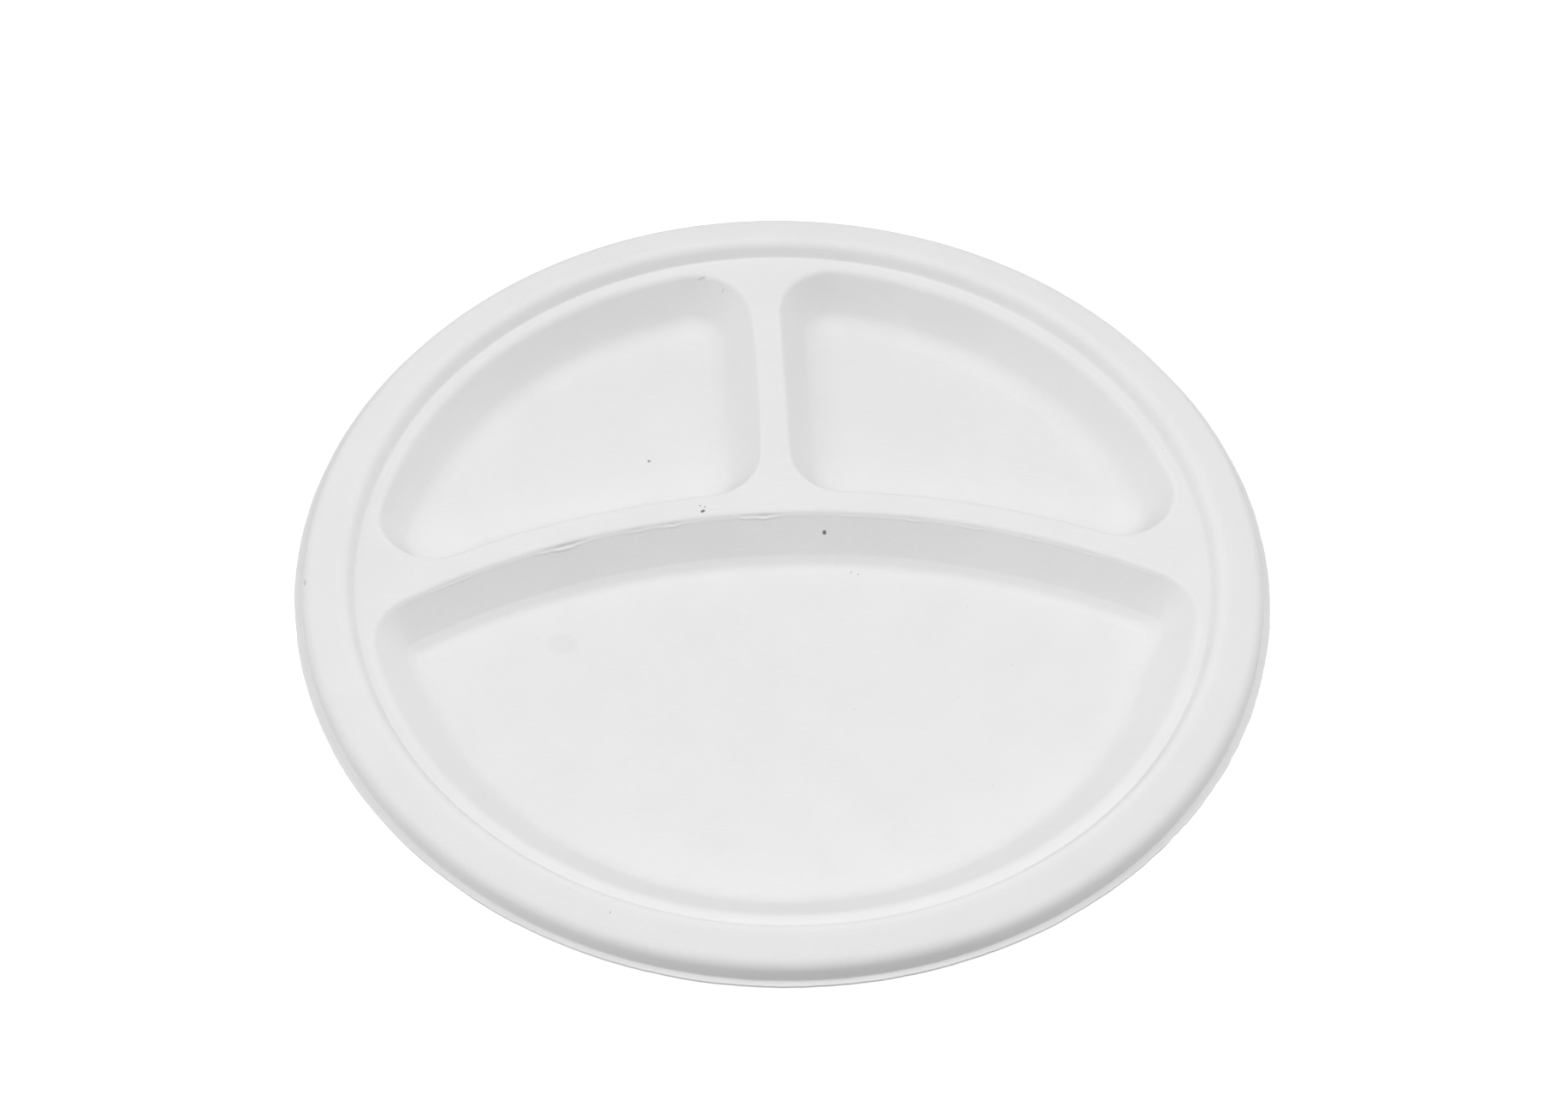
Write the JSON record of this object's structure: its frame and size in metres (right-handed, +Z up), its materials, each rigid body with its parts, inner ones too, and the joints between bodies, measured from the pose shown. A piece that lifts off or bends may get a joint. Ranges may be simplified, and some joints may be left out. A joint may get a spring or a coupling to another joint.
{
  "type": "compartment plate",
  "caption": "Round disposable moulded-fibre plate with a wide turned-down rim and low hollow dividers that part a large food compartment from small ones.",
  "frame": {"origin": "centre of the round plate, on the surface that it rests on", "axes": "+Z up out of the food side, +Y towards the two small compartments, the large compartment lies to -Y"},
  "size_m": [0.26, 0.26, 0.0173],
  "materials": {
    "pulp": "matte"
  },
  "bodies": {
    "root": {"plate": "pulp"}
  },
  "joints": []
}
